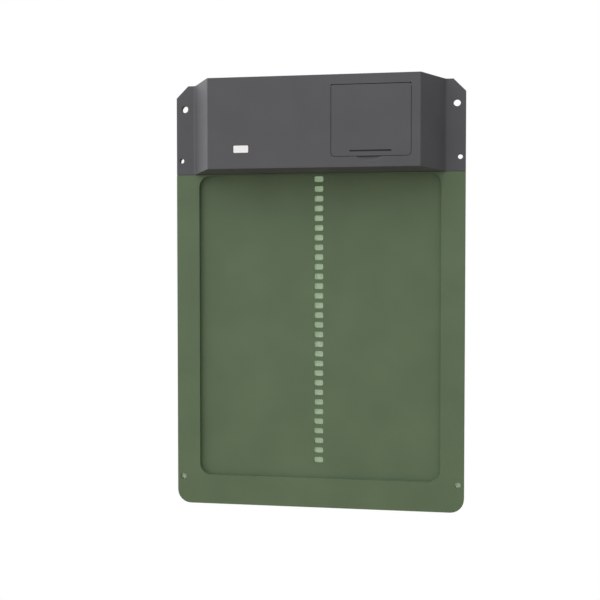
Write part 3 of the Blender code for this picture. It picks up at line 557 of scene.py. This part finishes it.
SCREW_SHANK = 4.8
RAIL_SCREW_X = 136.6
RAIL_SCREWS = [(side * RAIL_SCREW_X, z) for side in (-1, 1) for z in (60.0, 150.0, 240.0, 330.0)]
BRIDGE_SCREWS = [(side * RAIL_SCREW_X, z) for side in (-1, 1) for z in (399.5, 427.0)]
BOTTOM_SCREWS = [(x, 15.0) for x in (-90.0, 0.0, 90.0)]
GEARBOX_SCREWS = [(-46.5, 367.0), (-46.5, 405.0), (-8.0, 408.5)]
BOARD_SCREWS = [(x, z) for x in (-98.0, -54.0) for z in (359.0, 427.0)]
TRAY_SCREWS = [(35.0, 354.0), (85.0, 354.0)]
# name, places, where the head's underside sits in Y, head radius, head height
SCREW_SETS = (
    ("rail_screw", RAIL_SCREWS, 9.35, 2.3, 1.4),
    ("bridge_screw", BRIDGE_SCREWS, 9.25, 2.1, 1.5),
    ("bottom_screw", BOTTOM_SCREWS, 8.65, 2.8, 1.9),
    ("gearbox_screw", GEARBOX_SCREWS, -0.65, 2.7, 1.9),
    ("board_screw", BOARD_SCREWS, -29.85, 2.4, 1.6),
    ("tray_screw", TRAY_SCREWS, -28.65, 2.6, 1.8),
)


def pan_screw_mesh(radius, height):
    """A pan-head screw in metres: cross recess towards +Y, the head's underside at the origin."""
    bm = bmesh.new()
    shank = 1.1
    crest = 1.3
    profile = [(0, -SCREW_SHANK - 0.9), (0.35, -SCREW_SHANK - 0.5)]
    pitch = 0.8
    turns = int(SCREW_SHANK / pitch)
    for i in range(turns):
        at = -SCREW_SHANK + i * pitch
        profile += [(shank, at), (crest, at + 0.3), (shank, at + 0.6)]
    profile += [(shank, -0.05), (radius - 0.15, 0.0), (radius, 0.15)]
    dome = 8
    for i in range(dome + 1):
        turn = math.pi / 2 * i / dome
        wide = radius * math.cos(turn) ** 0.7 if i < dome else 0.0
        profile.append((wide, 0.4 * height + 0.6 * height * math.sin(turn)))
    add_lathe(bm, profile, (0, 0, 0), axis="Y", sides=32)
    bmesh.ops.recalc_face_normals(bm, faces=bm.faces)
    body = bpy.data.meshes.new("screw")
    bm.to_mesh(body)
    bm.free()
    tool = bmesh.new()
    arm, half = radius * 0.58, radius * 0.15
    outline = []
    for i in range(4):
        turn = math.pi / 2 * i
        for u, v in ((half, half), (arm, half), (arm, -half)):
            outline.append((u * math.cos(turn) + v * math.sin(turn), u * math.sin(turn) - v * math.cos(turn)))
    outline = outline[1:] + outline[:1]
    ends = []
    for share, y in ((0.45, height * 0.35), (1.0, height * 1.3)):
        ends.append([tool.verts.new((share * u, y, share * v)) for u, v in outline])
    near, far = ends
    tool.faces.new(near)
    tool.faces.new(list(reversed(far)))
    for i in range(len(outline)):
        j = (i + 1) % len(outline)
        tool.faces.new((near[i], near[j], far[j], far[i]))
    bmesh.ops.recalc_face_normals(tool, faces=tool.faces)
    cutter_mesh = bpy.data.meshes.new("cross")
    tool.to_mesh(cutter_mesh)
    tool.free()
    screw = bpy.data.objects.new("screw", body)
    cutter = bpy.data.objects.new("cross", cutter_mesh)
    for made in (screw, cutter):
        bpy.context.scene.collection.objects.link(made)
    cross = screw.modifiers.new("cross", "BOOLEAN")
    cross.object = cutter
    cross.solver = "EXACT"
    bpy.context.view_layer.update()
    shaped = bpy.data.meshes.new_from_object(screw.evaluated_get(bpy.context.evaluated_depsgraph_get()))
    for made in (screw, cutter):
        bpy.data.objects.remove(made)
    shaped.transform(Matrix.Scale(MM, 4))
    shaped.materials.clear()
    shaped.materials.append(FINISHES["steel"])
    shaped.shade_smooth()
    shaped.set_sharp_from_angle(angle=SMOOTH_ANGLE)
    return shaped


def screws():
    for name, places, seat, radius, height in SCREW_SETS:
        mesh = pan_screw_mesh(radius, height)
        for i, (x, z) in enumerate(places):
            made = bpy.data.objects.new(f"{name}_{i + 1}", mesh)
            made.location = plate(x, seat, z)
            made.rotation_euler = (0.0, math.radians(37 * i + 11), 0.0)
            bpy.context.scene.collection.objects.link(made)
            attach(made, "root")


# ---------------------------------------------------------------- battery bay

CELL_LENGTH = 50.5
BAY_TOP = 422.6
BAY_BOTTOM = 359.6


def cell(index):
    """An AA cell: steel nub and shoulder, printed sleeve with a copper band, crimped foot."""
    node = f"aa_cell_{index}"
    x, y, z = middle(node)
    way = 1 if index % 2 else -1
    half = CELL_LENGTH / 2
    shape = [
        (0, half, 1), (2.4, half, 1), (2.7, half - 0.3, 1), (2.75, half - 1.1, 1), (5.2, half - 1.2, 1),
        (5.9, half - 1.5, 1), (6.2, half - 1.25, 0), (6.75, half - 1.35, 0), (7.0, half - 1.9, 2),
        (7.0, half - 13.0, 0), (7.0, 0.7 - half, 0), (6.7, 0.25 - half, 0), (6.2, 0.2 - half, 1),
        (5.6, 0.0 - half, 1), (0, 0.0 - half, 1),
    ]
    bm = bmesh.new()
    profile = [(radius, way * along) for radius, along, _ in shape]
    add_lathe(bm, profile, (x, y, z), sides=56, material=lambda step: shape[step][2])
    made = piece(f"battery_{index}", bm, ["cell_wrap", "steel", "cell_band"])
    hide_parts(node)


def spring(index):
    """A cone of spring wire; its foot plate is made with the contacts."""
    node = f"contact_spring_{index}"
    x, y, z = middle(node)
    way = -1 if index % 2 else 1
    coils, length, narrow, wide, wire = 4.5, 6.0, 2.4, 4.2, 0.35
    steps = 150
    path = []
    for i in range(steps + 1):
        share = i / steps
        turn = 2 * math.pi * coils * share
        radius = narrow + (wide - narrow) * share
        rise = (share ** 1.15 - 0.5) * (length - 2 * wire)
        path.append(Vector((x + radius * math.cos(turn), y + radius * math.sin(turn), z + way * rise)))
    bm = bmesh.new()
    add_tube(bm, path, wire, sides=8)
    made = piece(f"battery_spring_{index}", bm, "steel")
    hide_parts(node)


def contacts():
    """A foot plate behind each spring and a bent leaf that meets each nub."""
    for index in range(1, 5):
        x, y, _ = middle(f"aa_cell_{index}")
        up = index % 2
        bm = bmesh.new()
        base = BAY_BOTTOM + 0.05 if up else BAY_TOP - 0.35
        add_block(bm, (x - 5.2, y - 4.6, base), (x + 5.2, y + 4.6, base + 0.3), edge=0.08)
        piece(f"spring_plate_{index}", bm, "steel")
        wall = BAY_TOP - 0.45 if up else BAY_BOTTOM + 0.05
        tip = 417.75 if up else 364.0
        bend = (wall - tip) * 0.25
        profile = [
            (x - 5.6, wall), (x - 3.4, wall), (x - 2.2, wall - bend), (x - 1.3, tip), (x + 1.3, tip),
            (x + 2.2, wall - bend), (x + 3.4, wall), (x + 5.6, wall),
        ]
        bm = bmesh.new()
        add_strip(bm, profile, 0.35, y - 3.5, y + 3.5)
        piece(f"nub_contact_{index}", bm, "brass")


def lid_inside():
    """Stiffening ribs on the lid's inner face, inside the seal."""
    low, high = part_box("lid_seal")
    low = (low - plate(0, 0, 0)) / MM
    high = (high - plate(0, 0, 0)) / MM
    face = (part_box("front_housing")[0] - plate(0, 0, 0)).y / MM + 2.4
    clear = 3.0
    bm = bmesh.new()
    for i in range(4):
        x = low.x + clear + (high.x - low.x - 2 * clear) * (i + 0.5) / 4
        add_block(bm, (x - 0.5, face, low.z + clear), (x + 0.5, face + 0.9, high.z - clear), edge=0.15)
    for share in (0.33, 0.67):
        z = low.z + (high.z - low.z) * share
        add_block(bm, (low.x + clear, face, z - 0.5), (high.x - clear, face + 0.75, z + 0.5), edge=0.15)
    piece("lid_ribs", bm, "grey_plastic", body="lid")


# The lid's groove, from left to right and from bottom to top, and how deep the dark strip of painted shade
# lies in it.
SLIT_X = (37.1, 78.7)
SLIT_Z = (363.5, 365.1)
SLIT_Y = (0.75, 1.15)


def lid_groove_painted_shade():
    """A dark strip on the floor of the lid's groove: painted shade that darkens the groove."""
    face = (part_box("battery_lid")[0] - plate(0, 0, 0)).y / MM
    bm = bmesh.new()
    near = (SLIT_X[0], face + SLIT_Y[0], SLIT_Z[0])
    far = (SLIT_X[1], face + SLIT_Y[1], SLIT_Z[1])
    # The dark plastic strip is painted shade inside the groove.
    add_block(bm, near, far, edge=0.1)
    piece("lid_groove_painted_shade", bm, "dark_plastic", body="lid")


def panel_arrows():
    """A raised arrow beside each button: up opens, down closes."""
    for name, way in (("open_button", 1), ("close_button", -1)):
        x, _, z = middle(name)
        face = middle("control_panel").y - 0.75
        bm = bmesh.new()
        outline = [(-2.0, -1.2), (2.0, -1.2), (0.0, 1.6)]
        ends = [
            [bm.verts.new((x + scale * u, y, z + way * (scale * v + 7.2))) for u, v in outline]
            for y, scale in ((face - 0.3, 0.85), (face, 1.0))
        ]
        bm.faces.new(ends[0])
        bm.faces.new(list(reversed(ends[1])))
        for i in range(3):
            j = (i + 1) % 3
            bm.faces.new((ends[0][i], ends[0][j], ends[1][j], ends[1][i]))
        piece(f"{name}_arrow", bm, "white_lens")


# ---------------------------------------------------------------- leads and circuit board

MOTOR_ROUTE = [
    (-62.0, -22.6, 420.0), (-58.0, -15.0, 421.0), (-50.0, -8.5, 425.0), (-40.0, -7.0, 429.0),
    (-31.0, -8.5, 431.0), (-28.0, -12.8, 430.0),
]
BATTERY_ROUTE = [
    (-62.0, -22.6, 370.0), (-59.0, -13.0, 371.0), (-55.5, -7.0, 382.0), (-55.0, -5.0, 400.0),
    (-51.0, -4.5, 415.0), (-38.0, -4.5, 420.0), (-10.0, -5.0, 420.0), (10.0, -8.0, 419.0),
    (22.0, -12.0, 418.0), (26.0, -16.0, 418.0), (26.0, -20.4, 418.0),
]


def twisted_pair(name, route, turns):
    """A red and a black wire twisted round each other along the route."""
    line = catmull_rom(route, 12)
    for colour, start in (("wire_red", 0.0), ("rubber", math.pi)):
        path = []
        side = Vector((1, 0, 0))
        for i, point in enumerate(line):
            ahead = (line[min(i + 1, len(line) - 1)] - line[max(i - 1, 0)]).normalized()
            side = (side - ahead * side.dot(ahead)).normalized()
            turn = start + 2 * math.pi * turns * i / (len(line) - 1)
            path.append(point + 0.55 * (math.cos(turn) * side + math.sin(turn) * ahead.cross(side)))
        bm = bmesh.new()
        add_tube(bm, path, 0.5, sides=10)
        made = piece(f"{name}_{'plus' if start == 0.0 else 'minus'}", bm, colour)
        if start == 0.0:
            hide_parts(name)


BOARD_BACK = -29.9


def chip_legs():
    for node, rows, pitch in (("microcontroller", 8, 1.1), ("motor_driver", 4, 1.5)):
        low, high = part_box(node)
        low, high = (low - plate(0, 0, 0)) / MM, (high - plate(0, 0, 0)) / MM
        bm = bmesh.new()
        for side, edge in ((-1, low.x), (1, high.x)):
            for i in range(rows):
                z = (low.z + high.z) / 2 + (i - (rows - 1) / 2) * pitch
                near, far = sorted((edge + side * 0.02, edge + side * 0.5))
                add_block(bm, (near, BOARD_BACK + 0.3, z - 0.2), (far, BOARD_BACK + 0.9, z + 0.2))
                near, far = sorted((edge + side * 0.4, edge + side * 1.1))
                add_block(bm, (near, BOARD_BACK + 0.02, z - 0.2), (far, BOARD_BACK + 0.3, z + 0.2))
        piece(f"{node}_legs", bm, "steel")


def board_passives():
    """Rows of small chip resistors and capacitors with tinned ends, and a crystal can."""
    bm = bmesh.new()
    for row, (x, z, count, step) in enumerate((
        (-96.0, 380.0, 5, 3.4), (-70.0, 380.0, 4, 3.4), (-88.0, 405.0, 1, 3.0), (-56.0, 386.0, 4, 4.0),
        (-78.0, 420.0, 3, 4.2),
    )):
        for i in range(count):
            place = z + i * step
            tall = 0.9 if (row + i) % 2 else 0.55
            top = BOARD_BACK + tall
            add_block(bm, (x - 0.65, BOARD_BACK + 0.05, place - 0.6), (x + 0.65, top, place + 0.6), 0.06, 0)
            for side in (-1, 1):
                near, far = sorted((x + side * 0.66, x + side * 1.0))
                add_block(bm, (near, BOARD_BACK + 0.02, place - 0.62), (far, top, place + 0.62), 0.05, 1)
    piece("board_passives", bm, ["dark_plastic", "steel"])
    bm = bmesh.new()
    add_block(bm, (-81.0, BOARD_BACK + 0.05, 402.0), (-77.0, BOARD_BACK + 1.9, 410.5), edge=0.7)
    piece("crystal", bm, "steel")


def connector_pins():
    for node in ("battery_connector", "motor_connector"):
        x, _, z = middle(node)
        bm = bmesh.new()
        for offset in (-1.25, 1.25):
            add_lathe(
                bm, [(0, -33.4), (0.35, -33.3), (0.5, -32.2), (1.0, -31.65), (0, -31.6)],
                (x, 0, z + offset), axis="Y", sides=16,
            )
        piece(f"{node}_solder", bm, "steel")


bpy.context.scene.view_settings.view_transform = "Standard"
camera()
studio_world()
floor()
dress_cad()
screws()
for number in range(1, 5):
    cell(number)
    spring(number)
contacts()
lid_inside()
lid_groove_painted_shade()
panel_arrows()
twisted_pair("motor_lead", MOTOR_ROUTE, 4)
twisted_pair("battery_lead", BATTERY_ROUTE, 11)
chip_legs()
board_passives()
connector_pins()
